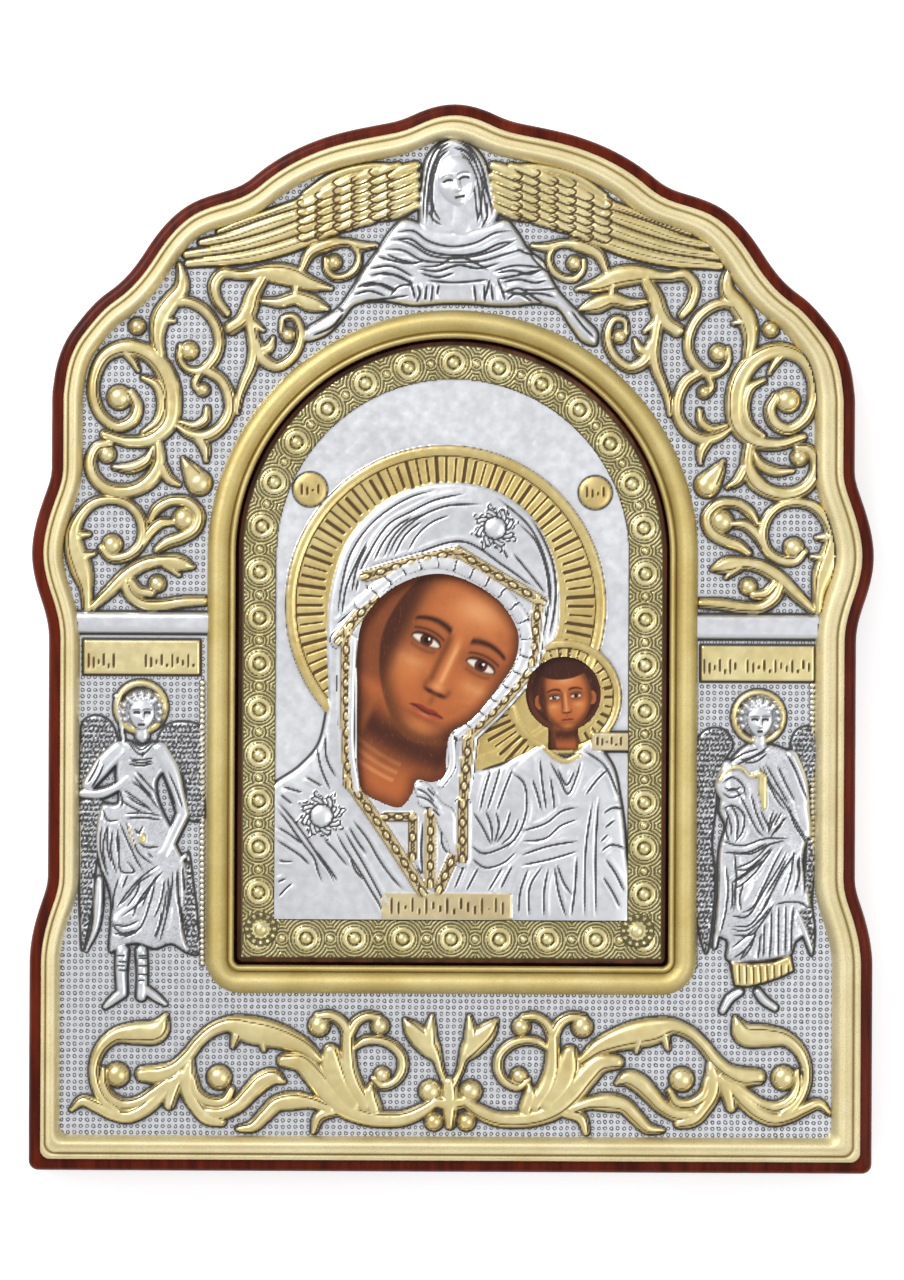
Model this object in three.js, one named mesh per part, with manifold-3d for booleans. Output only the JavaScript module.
// Icon panel: a scalloped wooden board with a pressed, part-gilt silver cover, and an arched icon let
// into its front. Millimetres, +Z up. The panel lies on its back with its foot towards -Y. The origin is
// at the middle of the outline, on the back face.
import * as THREE from "three";
import { mergeVertices } from "three/addons/utils/BufferGeometryUtils.js";
import Module from "manifold-3d";

const wasm = await Module();
wasm.setup();

// Driving dimensions of the board
const PANEL_W = 210;
const PANEL_H = 266;
const BOARD_T = 16;
const BOARD_EDGE = 1.2;
const FOOT_CORNER_R = 2.4;

// The frame's cover: wood left showing round it, sheet, and the moulding along its outer edge
const WOOD_RIM = 3.1;
const SHEET_T = 0.8;
const LIP_W = 1.5;
const LIP_H = 0.4;
const OUTER_MOULD_W = 4.6;
const OUTER_MOULD_H = 3.6;
const PRESS_SHIFT_W = 1.2;

// The arched window, measured on the inner edge of its moulding, and how far it is above the foot
const WINDOW_W = 108;
const WINDOW_H = 156;
const WINDOW_FOOT = 51.5;
const WINDOW_CORNER_R = 1.6;
const WINDOW_MOULD_W = 7.0;
const WINDOW_MOULD_H = 3.3;
const WINDOW_BEAD_W = 1.5;
const WINDOW_BEAD_H = 2.1;

// The inner icon and the pocket that it lies in
const POCKET_D = 5;
const ICON_GAP = 0.6;
const ICON_BOARD_T = 4.2;
const ICON_MARGIN = 1.15;
const ICON_SHEET_T = 0.8;
const BORDER_W = 8.6;
const BORDER_H = 0.5;
const ROUNDEL_R = 3.1;
const ROUNDEL_TOP_R = 1.2;
const ROUNDEL_H = 1.2;
const ROUNDEL_PITCH = 11.3;

// Height of the pressed work over its ground
const SCROLL_H = 1.8;
const BALL_H = 2.3;
const FIGURE_H = 1.9;
const WING_H = 1.3;
const HAIR_H = 2.1;
const HEAD_H = 2.5;
const SMALL_WING_H = 0.95;
const SMALL_HEAD_H = 2.3;
const FOLD_H = 0.6;
const PLATE_H = 0.9;
const VEIL_H = 1.0;
const DRESS_H = 1.2;
const HALO_H = 0.6;
const BRAID_H = 0.5;
const STAR_DOME_H = 1.2;
const PLATE_EDGE_W = 0.4;
const FORM_EDGE_W = 0.8;

// Profiles of the two mouldings and of the bead: shares of the width and of the height
const OUTER_PROFILE = [[0, 0], [0.25, 0.96], [0.62, 1], [1, 0]];
const WINDOW_PROFILE = [[1, 0], [0.8, 0.75], [0.52, 1], [0.28, 0.62]];
const BEAD_PROFILE = [[0.85, 0.8], [0.35, 1], [0, 0.5]];
// Shoulder of a dome, and the upright share of a slab's edge
const DOME_SHOULDER = [0.72, 0.75];
const UPRIGHT_SHARE = 0.3;
// Flat share of a wide form's crown
const BODY_CROWN = 0.82;
const WING_CROWN = 0.7;
const ROBE_CROWN = 0.6;
const ROUND_CROWN = 0.4;
// A thin stem stands at this share of the full height, which it reaches at this half width
const THIN_SHARE = 0.35;
const FULL_HALF_WIDTH = 1.43;

// How deep a pressed form starts inside its sheet, and how far a cutter runs past a face
const ROOT = 0.45;
const CUT_PAST = 1;
const MIN_CORNER_R = 0.3;

// How finely round forms are cut, and how many stretches of a stem share one mesh
const ARC_STEPS = 18;
const CORNER_STEPS = 3;
const BALL_SIDES = 6;
const HEAD_SIDES = 10;
const DISC_SIDES = 8;
const ROUNDEL_SIDES = 6;
const HALO_STEPS = 22;
const RING_STEPS = 12;
const STEM_SLACK_W = 0.8;
const STEM_CHUNK = 4;
// Length of one step of the scalloped outline, in the photograph's pixels
const OUTLINE_STEP = 27;

// The photograph's own frame: where the panel lies in it, in pixels
const PHOTO = { centre: 450, lean: 5, top: 103, foot: 1173, width: 846 };
// The inner icon's cover in the same pixels
const PHOTO_ICON = { centre: 453, middle: 652.5, width: 420, height: 615 };

// Half of the scalloped outline: distance from the centre line, height in the photograph, and the
// outline's direction, 0 degrees straight out and 90 degrees straight down.
const SCALLOPS = [
  [0, 103, 0], [42, 114, 26], [66, 122, 11], [124, 135, 17], [202, 177, 41], [226, 190, 17],
  [268, 206, 32], [310, 252, 58], [346, 292, 34], [382, 330, 53], [401, 380, 83], [403, 400, 90],
  [403, 470, 90], [408, 492, 70], [422.5, 555, 90], [413.5, 600, 109], [405, 640, 90],
  [405, 878, 90], [413, 910, 72], [423, 965, 90],
];

// Pressed scrolls of the left half. Each row is one stem or leaf: x, y and width along it, in the
// photograph's pixels. The right half is the same, turned over.
const SHOULDER_SCROLLS = [
  // great volute and the crescent inside it
  [[104, 436, 6], [128, 443, 9], [152, 440, 12], [168, 426, 15], [172, 402, 17], [167, 378, 17],
    [152, 358, 15], [128, 349, 14], [106, 357, 11], [95, 377, 9], [94, 400, 9], [103, 419, 9],
    [119, 428, 9], [132, 422, 10], [137, 408, 9], [131, 395, 7]],
  [[143, 379, 3], [156, 386, 7], [162, 404, 8], [156, 424, 6], [143, 434, 3]],
  // leaf above it
  [[160, 356, 8], [157, 338, 12], [161, 318, 17], [171, 303, 16], [181, 290, 13], [182, 279, 9],
    [179, 266, 2]],
  // second volute
  [[170, 304, 8], [188, 303, 8], [206, 313, 8], [217, 330, 8], [219, 348, 8], [212, 363, 9],
    [199, 373, 8], [186, 370, 5], [179, 359, 4], [180, 348, 4]],
  // third volute with its leaflets
  [[206, 371, 9], [221, 381, 9], [229, 398, 9], [229, 414, 9], [220, 429, 10], [204, 438, 10],
    [188, 435, 7], [177, 428, 3]],
  [[207, 410, 4], [205, 421, 7], [195, 427, 6], [181, 424, 3]],
  [[199, 440, 9], [205, 450, 8], [206, 462, 2]],
  // drop
  [[183, 460, 2], [189, 470, 12], [197, 482, 22]],
  // lower curl with its leaves
  [[109, 446, 6], [98, 448, 8], [91, 459, 9], [92, 474, 10], [102, 487, 11], [119, 493, 12],
    [137, 490, 12], [152, 479, 14], [159, 464, 11], [158, 446, 8]],
  [[153, 449, 2], [146, 462, 8], [132, 469, 9], [114, 469, 3]],
  [[162, 468, 9], [169, 480, 8], [179, 486, 2]],
  // volute in the bulge of the outline
  [[87, 609, 7], [86, 590, 11], [81, 570, 20], [75, 552, 18], [73, 535, 13], [80, 518, 9],
    [93, 505, 8], [110, 501, 7], [127, 505, 7], [139, 517, 8], [143, 534, 8], [138, 549, 8],
    [125, 558, 8], [110, 559, 7], [101, 550, 5]],
  // knot beside the window
  [[149, 522, 3], [156, 511, 8], [172, 502, 8], [189, 504, 9], [199, 516, 9], [195, 530, 10],
    [181, 539, 10], [167, 544, 9], [157, 551, 5]],
  [[142, 546, 5], [150, 533, 8], [161, 524, 8], [173, 523, 4]],
  // plume over the bar
  [[93, 608, 6], [110, 592, 10], [128, 575, 12], [146, 565, 11], [162, 562, 10], [178, 564, 15],
    [193, 568, 2]],
  [[124, 582, 8], [129, 595, 9], [142, 605, 9], [162, 606, 9], [183, 603, 9], [204, 602, 7]],
  [[131, 583, 8], [139, 592, 8], [151, 594, 7]],
  // long leaf under the wing and its stems
  [[226, 314, 6], [216, 300, 8], [214, 285, 9], [222, 275, 9], [240, 276, 8], [257, 275, 10]],
  [[256, 274, 10], [274, 274, 18], [292, 277, 19], [309, 284, 13], [331, 289, 2]],
  [[262, 280, 10], [253, 296, 13], [248, 312, 15], [240, 323, 12], [231, 329, 12]],
  [[249, 316, 10], [252, 334, 10], [254, 352, 10], [251, 368, 9], [244, 384, 7], [239, 399, 5],
    [237, 414, 2]],
  [[256, 344, 10], [263, 360, 11], [277, 367, 8], [290, 360, 7], [299, 345, 7], [300, 329, 6],
    [293, 318, 5], [284, 319, 4], [281, 332, 3]],
  [[263, 302, 4], [280, 303, 9], [296, 299, 12], [311, 304, 15], [327, 309, 3]],
  // small curl beside the figure
  [[376, 246, 2], [362, 247, 7], [345, 243, 6], [326, 246, 11], [310, 254, 9], [302, 270, 5]],
  [[352, 244, 4], [359, 256, 4], [356, 269, 5], [346, 277, 5], [334, 278, 5], [326, 270, 4],
    [325, 260, 3]],
];

// Round ends of those scrolls: x, y and radius
const SHOULDER_BALLS = [
  [119, 399, 12.5], [189, 352, 9.5], [199, 484, 13], [107, 456, 9], [112, 546, 10.5], [184, 520, 12],
  [157, 585, 9],
];

// Scrolls along the foot, left half
const FOOT_SCROLLS = [
  [[166, 1016, 2], [157, 1032, 20], [136, 1034, 20], [115, 1037, 13], [101, 1049, 10], [94, 1068, 8],
    [96, 1087, 8], [104, 1102, 9], [116, 1112, 12]],
  [[71, 1111, 2], [82, 1102, 8], [96, 1107, 10], [111, 1114, 11], [127, 1117, 12], [142, 1111, 13],
    [155, 1100, 14], [168, 1086, 14], [181, 1078, 12]],
  [[103, 1070, 3], [103, 1084, 6], [110, 1098, 9], [124, 1105, 9], [139, 1102, 8], [152, 1094, 9],
    [166, 1084, 10]],
  [[143, 1075, 14], [158, 1075, 17], [173, 1069, 12], [186, 1058, 11], [198, 1043, 10],
    [212, 1031, 11], [229, 1025, 14], [248, 1030, 25], [268, 1034, 25], [288, 1040, 20],
    [304, 1047, 14], [319, 1059, 7]],
  [[180, 1076, 10], [173, 1090, 13], [169, 1105, 9]],
  [[190, 1062, 6], [187, 1078, 16], [188, 1092, 14], [196, 1106, 13], [207, 1118, 12],
    [221, 1122, 8]],
  [[192, 1078, 8], [197, 1094, 10], [210, 1102, 9], [224, 1101, 8], [231, 1090, 5]],
  [[206, 1112, 8], [222, 1113, 12], [237, 1106, 13], [250, 1093, 15], [263, 1081, 17],
    [273, 1077, 14], [284, 1082, 2]],
  [[238, 1129, 3], [252, 1127, 9], [264, 1116, 12], [277, 1104, 14], [293, 1101, 16],
    [310, 1102, 11], [330, 1109, 8]],
  [[284, 1061, 12], [300, 1062, 18], [315, 1076, 21], [329, 1093, 22], [345, 1108, 18],
    [363, 1116, 15], [383, 1119, 14], [403, 1118, 13], [421, 1111, 12], [436, 1101, 9]],
  [[331, 1052, 14], [333, 1068, 26], [340, 1086, 26], [353, 1103, 20]],
  [[348, 1032, 10], [348, 1051, 12], [349, 1070, 15], [355, 1088, 17], [365, 1104, 16]],
  [[348, 1034, 10], [341, 1022, 9], [330, 1016, 8], [318, 1017, 7]],
  [[349, 1034, 9], [356, 1022, 8], [367, 1016, 7], [378, 1017, 6]],
  [[354, 1048, 3], [364, 1041, 7], [378, 1040, 7], [392, 1045, 8], [402, 1057, 8], [402, 1071, 8],
    [394, 1082, 7], [382, 1086, 6], [373, 1079, 4]],
  [[405, 1020, 2], [415, 1032, 17], [428, 1045, 20], [437, 1058, 8], [441, 1071, 5], [447, 1084, 6]],
  [[432, 1016, 2], [430, 1032, 11], [430, 1046, 14]],
  [[436, 1101, 10], [452, 1104, 14]],
];
const FOOT_BALLS = [
  [117, 1076, 12.5], [219, 1078, 12.5], [319, 1026, 11], [380, 1026, 9.5],
  [430, 1091, 11.5], [434, 1121, 9.5],
];
// The clasp in the middle of the foot, on the centre line
const FOOT_CLASP = [[450, 1078, 12], [450, 1094, 18], [450, 1110, 16], [450, 1126, 10]];

// Left wing of the upper figure: the covering part and four long feathers
const WING = [
  [[410, 191, 50], [350, 201, 50], [296, 222, 34]],
  [[304, 208, 14], [262, 223, 14], [202, 240, 9]],
  [[310, 222, 14], [262, 241, 14], [186, 254, 10]],
  [[330, 232, 14], [276, 253, 14], [188, 265, 10]],
];

// Upper figure: its body, arms, hair and neck, wide forms with a flat crown
const UPPER_BODY = [
  [[456, 221, 108], [456, 240, 138], [456, 260, 176], [456, 282, 204], [456, 303, 228]],
  [[356, 290, 28], [331, 312, 22], [309, 334, 18]],
  [[560, 290, 28], [582, 312, 22], [600, 336, 18]],
  [[456, 198, 28], [456, 214, 34], [456, 228, 58]],
];
const UPPER_HAIR = [
  [[428, 228, 12], [426, 188, 19], [436, 157, 20], [456, 148, 20], [476, 157, 20], [487, 188, 18],
    [491, 228, 12]],
];
const UPPER_HEAD = { x: 456, y: 181, rx: 19, ry: 25 };
// Folds hung across the chest
const UPPER_FOLDS = [
  [[392, 238, 6], [456, 256, 10], [522, 238, 6]],
  [[372, 266, 6], [456, 282, 10], [542, 266, 6]],
];

// Standing figures: halo, head, body, limbs and wings
const LEFT_FIGURE = {
  halo: [141, 707, 23.5, 6],
  head: { x: 142, y: 718, rx: 13, ry: 17 },
  wide: [
    [[142, 738, 24], [142, 754, 46], [143, 780, 52], [146, 812, 54], [147, 845, 64], [147, 885, 78],
      [148, 920, 86], [150, 950, 84]],
  ],
  limbs: [
    [[120, 752, 20], [99, 772, 18], [86, 792, 12]],
    [[80, 797, 9], [106, 791, 11], [132, 780, 9]],
    [[166, 760, 18], [177, 800, 16], [179, 836, 14], [165, 858, 12]],
    [[128, 948, 14], [128, 985, 12], [118, 1001, 10], [107, 1008, 8]],
    [[147, 948, 14], [147, 985, 12], [158, 1003, 8]],
  ],
  wings: [
    [[104, 722, 14], [95, 770, 26], [91, 840, 24], [88, 900, 16], [86, 948, 5]],
    [[176, 722, 14], [186, 760, 28], [189, 810, 18], [190, 870, 10], [191, 930, 3]],
  ],
};
const RIGHT_FIGURE = {
  halo: [758, 716, 23.5, 6],
  head: { x: 758, y: 724, rx: 13, ry: 16 },
  wide: [
    [[760, 742, 28], [760, 758, 60], [760, 782, 72], [762, 810, 64], [764, 836, 52], [762, 870, 66],
      [763, 910, 76], [763, 956, 66], [761, 984, 62]],
  ],
  limbs: [
    [[735, 762, 20], [724, 785, 18], [731, 806, 14], [750, 812, 8]],
    [[790, 754, 18], [803, 780, 18], [809, 806, 16], [805, 834, 12], [803, 860, 10]],
    [[744, 984, 10], [733, 1004, 8]],
    [[760, 984, 10], [772, 1004, 9]],
  ],
  wings: [
    [[724, 728, 12], [716, 770, 24], [712, 830, 22], [712, 900, 16], [712, 948, 4]],
    [[802, 728, 16], [810, 770, 18], [812, 830, 12], [812, 905, 5]],
  ],
};

// Bars and name plates of the side fields: left, top, right and bottom edges
const LEFT_BAR = [74, 613, 212, 635];
const RIGHT_BAR = [694, 613, 820, 638];
const LEFT_PLATE = [82, 640, 199, 676];
const RIGHT_PLATE = [700, 644, 814, 679];

// Openings of the inner icon's cover, where the picture shows
const LARGE_OPENING = [
  [440, 574], [478, 588], [508, 612], [520, 638], [516, 660], [497, 690], [470, 722], [452, 734],
  [451, 768], [434, 783], [416, 786], [411, 803], [388, 807], [362, 790], [359, 745], [359, 690],
  [359, 640], [375, 603], [405, 581],
];
const SMALL_OPENING = { x: 564, y: 694, r: 37.5, neckHalf: 15, neckFoot: 750 };

// The haloes, the veil's edge and the small figure's dress
const LARGE_HALO = [446, 606, 156, 9];
const SMALL_HALO = [565, 697, 50, 12];
const VEIL = [
  [446, 482], [495, 492], [535, 520], [556, 560], [560, 605], [548, 650], [520, 700], [500, 760],
  [516, 820], [514, 892], [385, 892], [393, 918], [280, 918], [279, 782], [305, 760], [327, 718],
  [329, 640], [331, 590], [348, 535], [390, 496],
];
const DRESS = [
  [540, 745], [565, 760], [590, 742], [618, 770], [624, 810], [624, 918], [514, 918], [514, 820],
  [508, 775],
];
// Gilt braid along the veil and the dress
const BRAIDS = [
  [[366, 577, 12], [412, 563, 12], [458, 553, 12], [500, 577, 12], [538, 601, 12], [538, 660, 12]],
  [[528, 676, 12], [500, 708, 12], [468, 737, 12], [464, 800, 12], [464, 858, 12]],
  [[338, 640, 12], [374, 604, 12]],
  [[345, 630, 12], [348, 700, 12], [350, 785, 12], [390, 838, 12], [432, 891, 12]],
  [[384, 818, 11], [415, 818, 11], [415, 862, 11]],
  [[433, 816, 12], [434, 880, 12]],
  [[458, 846, 11], [441, 890, 11]],
];
const STARS = [[495, 528, 25, 9], [323, 817, 25, 9]];
const MEDALS = [[310, 490, 17], [595, 492, 16.5]];
const ICON_PLATES = [[383, 893, 513, 919], [592, 732, 626, 751]];
const CORNER_ROSETTES = [[263, 929, 14], [639, 932, 14]];

// Place of a photograph pixel on the panel
function onPanel(x, y) {
  const height = PHOTO.foot - PHOTO.top;
  const lean = PHOTO.lean * (PHOTO.foot - y) / height;
  return new THREE.Vector2(
    (x - PHOTO.centre - lean) * PANEL_W / PHOTO.width,
    ((PHOTO.foot + PHOTO.top) / 2 - y) * PANEL_H / height,
  );
}

// Anticlockwise outline from rows of pixels
function outlineOf(rows, place) {
  const outline = rows.map(([x, y]) => place(x, y));
  return THREE.ShapeUtils.isClockWise(outline) ? outline.reverse() : outline;
}

// Size of the inner icon's cover, and the place of a photograph pixel on it, from its own middle
const ICON_W = WINDOW_W - 2 * ICON_GAP;
const ICON_H = WINDOW_H - 2 * ICON_GAP;
const COVER_W = ICON_W - 2 * ICON_MARGIN;
const COVER_H = ICON_H - 2 * ICON_MARGIN;
function onIcon(x, y) {
  return new THREE.Vector2(
    (x - PHOTO_ICON.centre) * COVER_W / PHOTO_ICON.width,
    (PHOTO_ICON.middle - y) * COVER_H / PHOTO_ICON.height,
  );
}

// Turn a geometry into a solid, and a solid into a mesh
function toSolid(geometry) {
  const bare = geometry.index ? geometry.clone() : geometry;
  bare.deleteAttribute("normal");
  bare.deleteAttribute("uv");
  const merged = mergeVertices(bare, 1e-4);
  return new wasm.Manifold(new wasm.Mesh({
    numProp: 3,
    vertProperties: new Float32Array(merged.attributes.position.array),
    triVerts: new Uint32Array(merged.index.array),
  }));
}

function toMesh(name, solid, look) {
  const data = solid.getMesh();
  const geometry = new THREE.BufferGeometry();
  const positions = new Float32Array(data.numVert * 3);
  for (let i = 0; i < data.numVert; i += 1) {
    for (let k = 0; k < 3; k += 1) {
      positions[i * 3 + k] = data.vertProperties[i * data.numProp + k];
    }
  }
  geometry.setAttribute("position", new THREE.BufferAttribute(positions, 3));
  geometry.setIndex(new THREE.BufferAttribute(new Uint32Array(data.triVerts), 1));
  geometry.computeVertexNormals();
  const mesh = new THREE.Mesh(geometry, new THREE.MeshStandardMaterial(look));
  mesh.name = name;
  return mesh;
}

// Join many solids in pairs, which keeps the joins small
function joinAll(solids) {
  let rest = solids;
  while (rest.length > 1) {
    const next = [];
    for (let i = 0; i + 1 < rest.length; i += 2) {
      next.push(rest[i].add(rest[i + 1]));
    }
    if (rest.length % 2) {
      next.push(rest[rest.length - 1]);
    }
    rest = next;
  }
  return rest[0];
}

// Solid through a stack of loops that all have as many points. Closed loops of levels make a ring;
// otherwise the first and last loops are capped.
function loft(levels, closed = false) {
  const count = levels[0].loop.length;
  const positions = [];
  for (const { loop, z } of levels) {
    for (const point of loop) {
      positions.push(point.x, point.y, z);
    }
  }
  const index = [];
  const last = closed ? levels.length : levels.length - 1;
  for (let level = 0; level < last; level += 1) {
    const low = level * count;
    const high = ((level + 1) % levels.length) * count;
    for (let i = 0; i < count; i += 1) {
      const j = (i + 1) % count;
      index.push(low + i, low + j, high + j, low + i, high + j, high + i);
    }
  }
  if (!closed) {
    const top = (levels.length - 1) * count;
    for (const [a, b, c] of THREE.ShapeUtils.triangulateShape(levels[0].loop, [])) {
      index.push(c, b, a);
    }
    for (const [a, b, c] of THREE.ShapeUtils.triangulateShape(levels[levels.length - 1].loop, [])) {
      index.push(top + a, top + b, top + c);
    }
  }
  const geometry = new THREE.BufferGeometry();
  geometry.setAttribute("position", new THREE.Float32BufferAttribute(positions, 3));
  geometry.setIndex(index);
  return toSolid(geometry);
}

// Arc of points round a centre, from one angle to another in degrees
function arc(cx, cy, radius, from, to, steps) {
  const points = [];
  for (let i = 0; i <= steps; i += 1) {
    const angle = THREE.MathUtils.degToRad(from + (to - from) * i / steps);
    points.push(new THREE.Vector2(cx + radius * Math.cos(angle), cy + radius * Math.sin(angle)));
  }
  return points;
}

// Smooth half outline from the knots, from the top down, as points with outward normals
function halfOutline() {
  const side = [];
  for (let k = 0; k + 1 < SCALLOPS.length; k += 1) {
    const [x0, y0, turn0] = SCALLOPS[k];
    const [x1, y1, turn1] = SCALLOPS[k + 1];
    const reach = Math.hypot(x1 - x0, y1 - y0);
    const start = THREE.MathUtils.degToRad(turn0);
    const end = THREE.MathUtils.degToRad(turn1);
    const straight = turn0 === 90 && turn1 === 90;
    const steps = straight ? 1 : Math.max(2, Math.round(reach / OUTLINE_STEP));
    for (let i = 0; i < steps; i += 1) {
      const t = i / steps;
      const a = 2 * t ** 3 - 3 * t ** 2 + 1;
      const b = t ** 3 - 2 * t ** 2 + t;
      const c = -2 * t ** 3 + 3 * t ** 2;
      const d = t ** 3 - t ** 2;
      side.push([
        a * x0 + c * x1 + reach * (b * Math.cos(start) + d * Math.cos(end)),
        a * y0 + c * y1 + reach * (b * Math.sin(start) + d * Math.sin(end)),
      ]);
    }
  }
  const [lastX, lastY] = SCALLOPS[SCALLOPS.length - 1];
  side.push([lastX, lastY]);
  const points = side.map(([x, y]) => {
    const place = onPanel(PHOTO.centre, y);
    return new THREE.Vector2(x * PANEL_W / PHOTO.width, place.y);
  });
  return points.map((point, i) => {
    const before = points[Math.max(i - 1, 0)];
    const after = points[Math.min(i + 1, points.length - 1)];
    const along = i === 0 ? new THREE.Vector2(1, 0) : after.clone().sub(before).normalize();
    return { point, normal: new THREE.Vector2(-along.y, along.x) };
  });
}

const SIDE = halfOutline();

// Loop round the panel, a distance in from its edge, moved sideways
function panelLoop(inset, shift = 0) {
  const right = SIDE.map(({ point, normal }) => point.clone().addScaledVector(normal, -inset));
  const radius = FOOT_CORNER_R;
  const edge = SIDE[SIDE.length - 1].point.x - inset;
  const foot = -PANEL_H / 2 + inset;
  const corner = arc(edge - radius, foot + radius, radius, 0, -90, CORNER_STEPS);
  const half = [...right, ...corner];
  const left = half.slice(1).map((point) => new THREE.Vector2(-point.x, point.y));
  const loop = [...half.reverse(), ...left];
  return loop.map((point) => new THREE.Vector2(point.x + shift, point.y));
}

// Loop of the arched window, grown outwards by a distance
const WINDOW_LOW = WINDOW_FOOT - PANEL_H / 2;
function archLoop(width, height, low, cornerRadius, grow) {
  const half = width / 2 + grow;
  const foot = low - grow;
  const spring = low + height - width / 2;
  const radius = Math.max(cornerRadius + grow, MIN_CORNER_R);
  return [
    ...arc(half - radius, foot + radius, radius, -90, 0, CORNER_STEPS),
    ...arc(0, spring, half, 0, 180, ARC_STEPS),
    ...arc(-half + radius, foot + radius, radius, 180, 270, CORNER_STEPS),
  ];
}
function windowLoop(grow) {
  return archLoop(WINDOW_W, WINDOW_H, WINDOW_LOW, WINDOW_CORNER_R, grow);
}

// Knots that a stem needs: those that bend it, or change its width, by more than the tolerance
function needed(row) {
  if (row.length < 3) {
    return row;
  }
  const first = row[0];
  const last = row[row.length - 1];
  const span = Math.hypot(last[0] - first[0], last[1] - first[1]) || 1;
  let worst = 0;
  let at = 0;
  for (let i = 1; i + 1 < row.length; i += 1) {
    const share = i / (row.length - 1);
    const off = Math.abs((row[i][0] - first[0]) * (last[1] - first[1])
      - (row[i][1] - first[1]) * (last[0] - first[0])) / span;
    const fat = Math.abs(row[i][2] - first[2] - (last[2] - first[2]) * share) / 2;
    if (Math.max(off, fat) > worst) {
      worst = Math.max(off, fat);
      at = i;
    }
  }
  if (worst < STEM_SLACK_W * PHOTO.width / PANEL_W) {
    return [first, last];
  }
  return [...needed(row.slice(0, at + 1)), ...needed(row.slice(at)).slice(1)];
}

// Solids along a stem. Narrow stretches stand lower than wide ones.
function stem(knots, place, base, height, crown = 0, root = ROOT) {
  const row = needed(knots);
  const scale = PANEL_W / PHOTO.width;
  const points = row.map(([x, y]) => place(x, y));
  const sections = points.map((point, i) => {
    const before = points[Math.max(i - 1, 0)];
    const after = points[Math.min(i + 1, points.length - 1)];
    const along = after.clone().sub(before).normalize();
    const across = new THREE.Vector2(-along.y, along.x);
    const half = row[i][2] * scale / 2;
    const share = Math.min(1, THIN_SHARE + (1 - THIN_SHARE) * half / FULL_HALF_WIDTH);
    const rise = height * (crown ? 1 : share);
    const offsets = crown ? [1, crown, -crown, -1] : [1, 0, -1];
    return offsets.map((side) => {
      const spot = point.clone().addScaledVector(across, side * half);
      return [spot.x, spot.y, Math.abs(side) === 1 ? base - root : base + rise];
    });
  });
  // Short chunks keep a tight curl from crossing itself inside one mesh
  const chunks = [];
  for (let start = 0; start + 1 < sections.length; start += STEM_CHUNK) {
    const part = sections.slice(start, start + STEM_CHUNK + 1);
    const around = part[0].length;
    const index = [];
    for (let s = 0; s + 1 < part.length; s += 1) {
      for (let k = 0; k < around; k += 1) {
        const next = (k + 1) % around;
        const a = s * around + k;
        const b = s * around + next;
        index.push(a, b + around, a + around, a, b, b + around);
      }
    }
    const end = (part.length - 1) * around;
    for (let k = 1; k + 1 < around; k += 1) {
      index.push(0, k + 1, k);
      index.push(end, end + k, end + k + 1);
    }
    const geometry = new THREE.BufferGeometry();
    geometry.setAttribute("position", new THREE.Float32BufferAttribute(part.flat(2), 3));
    geometry.setIndex(index);
    chunks.push(toSolid(geometry));
  }
  return chunks;
}

// Low dome over a round or oval foot
function dome(centre, radiusX, radiusY, base, height, sides = BALL_SIDES) {
  const [shoulder, up] = DOME_SHOULDER;
  const profile = [
    new THREE.Vector2(0, -ROOT),
    new THREE.Vector2(1, -ROOT),
    new THREE.Vector2(shoulder, height * up),
    new THREE.Vector2(0, height),
  ];
  const geometry = new THREE.LatheGeometry(profile, sides);
  geometry.rotateX(Math.PI / 2);
  geometry.scale(radiusX, radiusY, 1);
  geometry.translate(centre.x, centre.y, base);
  return toSolid(geometry);
}

// Roundel of the border: a low boss with a flat top
function roundel(centre, base) {
  const profile = [
    new THREE.Vector2(0, 0),
    new THREE.Vector2(ROUNDEL_R, 0),
    new THREE.Vector2(ROUNDEL_TOP_R, ROUNDEL_H),
    new THREE.Vector2(0, ROUNDEL_H),
  ];
  const geometry = new THREE.LatheGeometry(profile, ROUNDEL_SIDES);
  geometry.rotateX(Math.PI / 2);
  geometry.translate(centre.x, centre.y, base);
  return toSolid(geometry);
}

// Raised ring with a ridged top
function band(centre, radius, width, base, height, sides) {
  const levels = [
    { size: radius + width / 2, z: base - ROOT },
    { size: radius, z: base + height },
    { size: radius - width / 2, z: base - ROOT },
  ].map(({ size, z }) => ({ loop: arc(centre.x, centre.y, size, 0, 360, sides).slice(0, -1), z }));
  return loft(levels, true);
}

// Closed outline moved inwards by a distance
function insetLoop(outline, distance) {
  return outline.map((point, i) => {
    const before = outline[(i + outline.length - 1) % outline.length];
    const after = outline[(i + 1) % outline.length];
    const along = after.clone().sub(before).normalize();
    return new THREE.Vector2(point.x - along.y * distance, point.y + along.x * distance);
  });
}

// Halo of the picture's cover: a raised disc with a ridge round its rim
function rimmedDisc(centre, radius, width, base) {
  const levels = [
    { size: radius + width / 2, z: base - ROOT },
    { size: radius + width / 2, z: base + HALO_H },
    { size: radius, z: base + HALO_H * 2 },
    { size: radius - width / 2, z: base + HALO_H },
  ].map(({ size, z }) => ({ loop: arc(centre.x, centre.y, size, 0, 360, HALO_STEPS).slice(1), z }));
  return loft(levels);
}

// Flat-topped slab over a closed outline that runs anticlockwise, with sloping edges
function slab(outline, base, height, edgeW) {
  return loft([
    { loop: outline, z: base - ROOT },
    { loop: outline, z: base + height * UPRIGHT_SHARE },
    { loop: insetLoop(outline, edgeW), z: base + height },
  ]);
}

function plate([left, top, right, bottom], place, base, height) {
  const corners = [[left, bottom], [right, bottom], [right, top], [left, top]];
  return slab(outlineOf(corners, place), base, height, PLATE_EDGE_W);
}

// Mirror of a row of the left half
function mirrored(row) {
  return row.map(([x, ...rest]) => [2 * PHOTO.centre - x, ...rest]);
}
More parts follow.
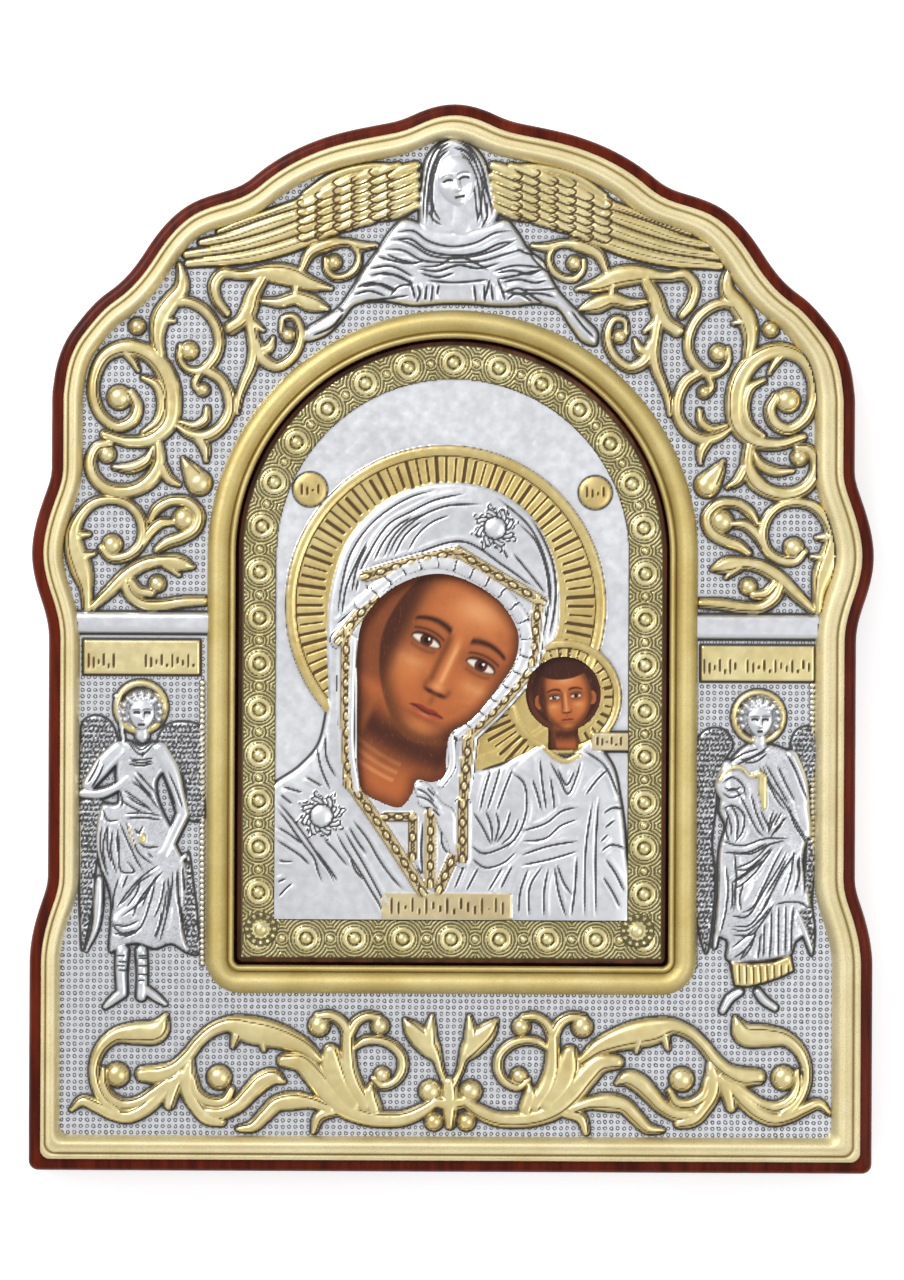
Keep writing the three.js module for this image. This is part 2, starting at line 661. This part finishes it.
// Leaning centre line of the photograph, taken out before a place is mirrored
function onRight(x, y) {
  const spot = onPanel(x, y);
  const centre = onPanel(PHOTO.centre, y);
  return new THREE.Vector2(spot.x - 2 * centre.x, spot.y);
}

// The wooden board with its pocket
function makeBoard() {
  const body = loft([
    { loop: panelLoop(0), z: 0 },
    { loop: panelLoop(0), z: BOARD_T - BOARD_EDGE },
    { loop: panelLoop(BOARD_EDGE), z: BOARD_T },
  ]);
  const pocket = loft([
    { loop: windowLoop(0), z: BOARD_T - POCKET_D },
    { loop: windowLoop(0), z: BOARD_T + CUT_PAST },
  ]);
  return body.subtract(pocket);
}

// The pressed cover of the board, with its underside at zero
function makeFrameCover() {
  const ground = SHEET_T;
  const total = LIP_W + OUTER_MOULD_W;
  const edge = (inset, z) => ({
    loop: panelLoop(WOOD_RIM + inset, -PRESS_SHIFT_W * inset / total),
    z,
  });
  const sheet = loft([
    edge(0, 0),
    edge(0, ground + LIP_H),
    ...OUTER_PROFILE.map(([across, up]) => edge(LIP_W + OUTER_MOULD_W * across, ground + OUTER_MOULD_H * up)),
  ]);
  const windowRing = loft([
    { loop: windowLoop(WINDOW_MOULD_W), z: ground - ROOT },
    ...WINDOW_PROFILE.map(([out, up]) => ({
      loop: windowLoop(WINDOW_MOULD_W * out),
      z: ground + WINDOW_MOULD_H * up,
    })),
    ...BEAD_PROFILE.map(([out, up]) => ({
      loop: windowLoop(WINDOW_BEAD_W * out),
      z: ground + WINDOW_BEAD_H * up,
    })),
    { loop: windowLoop(0), z: ground - ROOT },
  ], true);

  const parts = [sheet, windowRing];
  for (const row of [...SHOULDER_SCROLLS, ...FOOT_SCROLLS]) {
    parts.push(...stem(row, onPanel, ground, SCROLL_H, 0, 0));
    parts.push(...stem(mirrored(row), onRight, ground, SCROLL_H, 0, 0));
  }
  for (const [x, y, r] of [...SHOULDER_BALLS, ...FOOT_BALLS]) {
    const radius = r * PANEL_W / PHOTO.width;
    parts.push(dome(onPanel(x, y), radius, radius, ground, BALL_H));
    parts.push(dome(onRight(2 * PHOTO.centre - x, y), radius, radius, ground, BALL_H));
  }
  parts.push(...stem(FOOT_CLASP, onPanel, ground, SCROLL_H, ROBE_CROWN));
  parts.push(...makeUpperFigure(ground));
  parts.push(...makeSideFigure(LEFT_FIGURE, ground));
  parts.push(...makeSideFigure(RIGHT_FIGURE, ground));
  for (const edges of [LEFT_BAR, RIGHT_BAR, LEFT_PLATE, RIGHT_PLATE]) {
    parts.push(plate(edges, onPanel, ground, PLATE_H));
  }
  const cutTop = ground + OUTER_MOULD_H + CUT_PAST;
  const opening = loft([{ loop: windowLoop(0), z: -CUT_PAST }, { loop: windowLoop(0), z: cutTop }]);
  return joinAll(parts).subtract(opening);
}

function makeUpperFigure(ground) {
  const scale = PANEL_W / PHOTO.width;
  const parts = [];
  for (const row of WING) {
    parts.push(...stem(row, onPanel, ground, WING_H, WING_CROWN));
    parts.push(...stem(mirrored(row), onRight, ground, WING_H, WING_CROWN));
  }
  for (const row of UPPER_BODY) {
    parts.push(...stem(row, onPanel, ground, FIGURE_H, BODY_CROWN));
  }
  for (const row of UPPER_HAIR) {
    parts.push(...stem(row, onPanel, ground, HAIR_H, ROUND_CROWN));
  }
  for (const row of UPPER_FOLDS) {
    parts.push(...stem(row, onPanel, ground + FIGURE_H, FOLD_H));
  }
  const head = UPPER_HEAD;
  const middle = onPanel(head.x, head.y);
  parts.push(dome(middle, head.rx * scale, head.ry * scale, ground, HEAD_H, HEAD_SIDES));
  return parts;
}

function makeSideFigure(figure, ground) {
  const scale = PANEL_W / PHOTO.width;
  const parts = [];
  for (const row of figure.wings) {
    parts.push(...stem(row, onPanel, ground, SMALL_WING_H, ROBE_CROWN));
  }
  for (const row of figure.wide) {
    parts.push(...stem(row, onPanel, ground, FIGURE_H, ROBE_CROWN));
  }
  for (const row of figure.limbs) {
    parts.push(...stem(row, onPanel, ground, FIGURE_H, ROUND_CROWN));
  }
  const [x, y, r, w] = figure.halo;
  parts.push(band(onPanel(x, y), r * scale, w * scale, ground, PLATE_H, RING_STEPS));
  const head = figure.head;
  const middle = onPanel(head.x, head.y);
  parts.push(dome(middle, head.rx * scale, head.ry * scale, ground, SMALL_HEAD_H, DISC_SIDES));
  return parts;
}

// The arched panel that carries the picture, measured from its own middle
function iconLoop(inset) {
  return archLoop(ICON_W, ICON_H, -ICON_H / 2, WINDOW_CORNER_R, -inset);
}
function makeIconBoard() {
  return loft([{ loop: iconLoop(0), z: 0 }, { loop: iconLoop(0), z: ICON_BOARD_T }]);
}

// Places at an even pitch along the middle of the border
function roundelPlaces() {
  const middle = iconLoop(ICON_MARGIN + BORDER_W / 2);
  const path = new THREE.CurvePath();
  middle.forEach((point, i) => {
    path.add(new THREE.LineCurve(point, middle[(i + 1) % middle.length]));
  });
  const count = Math.round(path.getLength() / ROUNDEL_PITCH);
  const places = [];
  for (let i = 0; i < count; i += 1) {
    places.push(path.getPointAt((i + 0.5) / count));
  }
  return places;
}

// The pressed cover of the inner icon, with its underside at zero
function makeIconCover() {
  const ground = ICON_SHEET_T;
  const scale = COVER_W / PHOTO_ICON.width;
  const parts = [
    loft([{ loop: iconLoop(ICON_MARGIN), z: 0 }, { loop: iconLoop(ICON_MARGIN), z: ground }]),
    loft([
      { loop: iconLoop(ICON_MARGIN), z: ground - ROOT },
      { loop: iconLoop(ICON_MARGIN), z: ground + BORDER_H },
      { loop: iconLoop(ICON_MARGIN + BORDER_W), z: ground + BORDER_H },
      { loop: iconLoop(ICON_MARGIN + BORDER_W), z: ground - ROOT },
    ], true),
  ];
  for (const place of roundelPlaces()) {
    parts.push(roundel(place, ground + BORDER_H));
  }
  for (const [x, y, r, w] of [LARGE_HALO, SMALL_HALO]) {
    const centre = onIcon(x, y);
    parts.push(rimmedDisc(centre, r * scale, w * scale, ground));
  }
  parts.push(slab(outlineOf(VEIL, onIcon), ground, VEIL_H, FORM_EDGE_W));
  parts.push(slab(outlineOf(DRESS, onIcon), ground, DRESS_H, FORM_EDGE_W));
  for (const row of BRAIDS) {
    parts.push(...stem(row, onIcon, ground + VEIL_H, BRAID_H, WING_CROWN));
  }
  for (const [x, y, r, core] of STARS) {
    const centre = onIcon(x, y);
    for (const turn of [0, 45]) {
      const square = arc(centre.x, centre.y, r * scale, turn, turn + 360, 4).slice(1);
      parts.push(slab(square, ground + VEIL_H, BRAID_H, PLATE_EDGE_W));
    }
    parts.push(dome(centre, core * scale, core * scale, ground + VEIL_H, STAR_DOME_H));
  }
  for (const [x, y, r] of MEDALS) {
    parts.push(dome(onIcon(x, y), r * scale, r * scale, ground, HALO_H, DISC_SIDES));
  }
  for (const [x, y, r] of CORNER_ROSETTES) {
    parts.push(dome(onIcon(x, y), r * scale, r * scale, ground, BORDER_H + ROUNDEL_H, DISC_SIDES));
  }
  for (const edges of ICON_PLATES) {
    parts.push(plate(edges, onIcon, ground, VEIL_H + BRAID_H));
  }
  return joinAll(parts).subtract(makeOpenings(scale));
}

function makeOpenings(scale) {
  const cutTop = ICON_SHEET_T + DRESS_H + STAR_DOME_H + CUT_PAST;
  const through = (outline) => loft([{ loop: outline, z: -CUT_PAST }, { loop: outline, z: cutTop }]);
  const large = through(outlineOf(LARGE_OPENING, onIcon));
  const small = SMALL_OPENING;
  const centre = onIcon(small.x, small.y);
  const head = through(arc(centre.x, centre.y, small.r * scale, 0, 360, ARC_STEPS).slice(1));
  const neckTop = onIcon(small.x - small.neckHalf, small.y);
  const neckFoot = onIcon(small.x + small.neckHalf, small.neckFoot);
  const neck = through([
    new THREE.Vector2(neckTop.x, neckFoot.y),
    neckFoot,
    new THREE.Vector2(neckFoot.x, neckTop.y),
    neckTop,
  ]);
  return large.add(head.add(neck));
}

const panel = new THREE.Group();

const board = toMesh("back_board", makeBoard(), { color: 0x4d1d14, roughness: 0.35, metalness: 0 });
panel.add(board);

const cover = toMesh("frame_cover", makeFrameCover(), { color: 0xcfc394, roughness: 0.35, metalness: 1 });
cover.position.z = BOARD_T;
panel.add(cover);

// The icon lies in the pocket, in the middle of the window
const icon = new THREE.Group();
icon.position.set(0, WINDOW_LOW + WINDOW_H / 2, BOARD_T - POCKET_D);
panel.add(icon);

const iconBoard = toMesh("icon_board", makeIconBoard(), { color: 0x3a1a12, roughness: 0.4, metalness: 0 });
icon.add(iconBoard);

const iconCover = toMesh("icon_cover", makeIconCover(), { color: 0xdcdde0, roughness: 0.3, metalness: 1 });
iconCover.position.z = ICON_BOARD_T;
icon.add(iconCover);

export default panel;
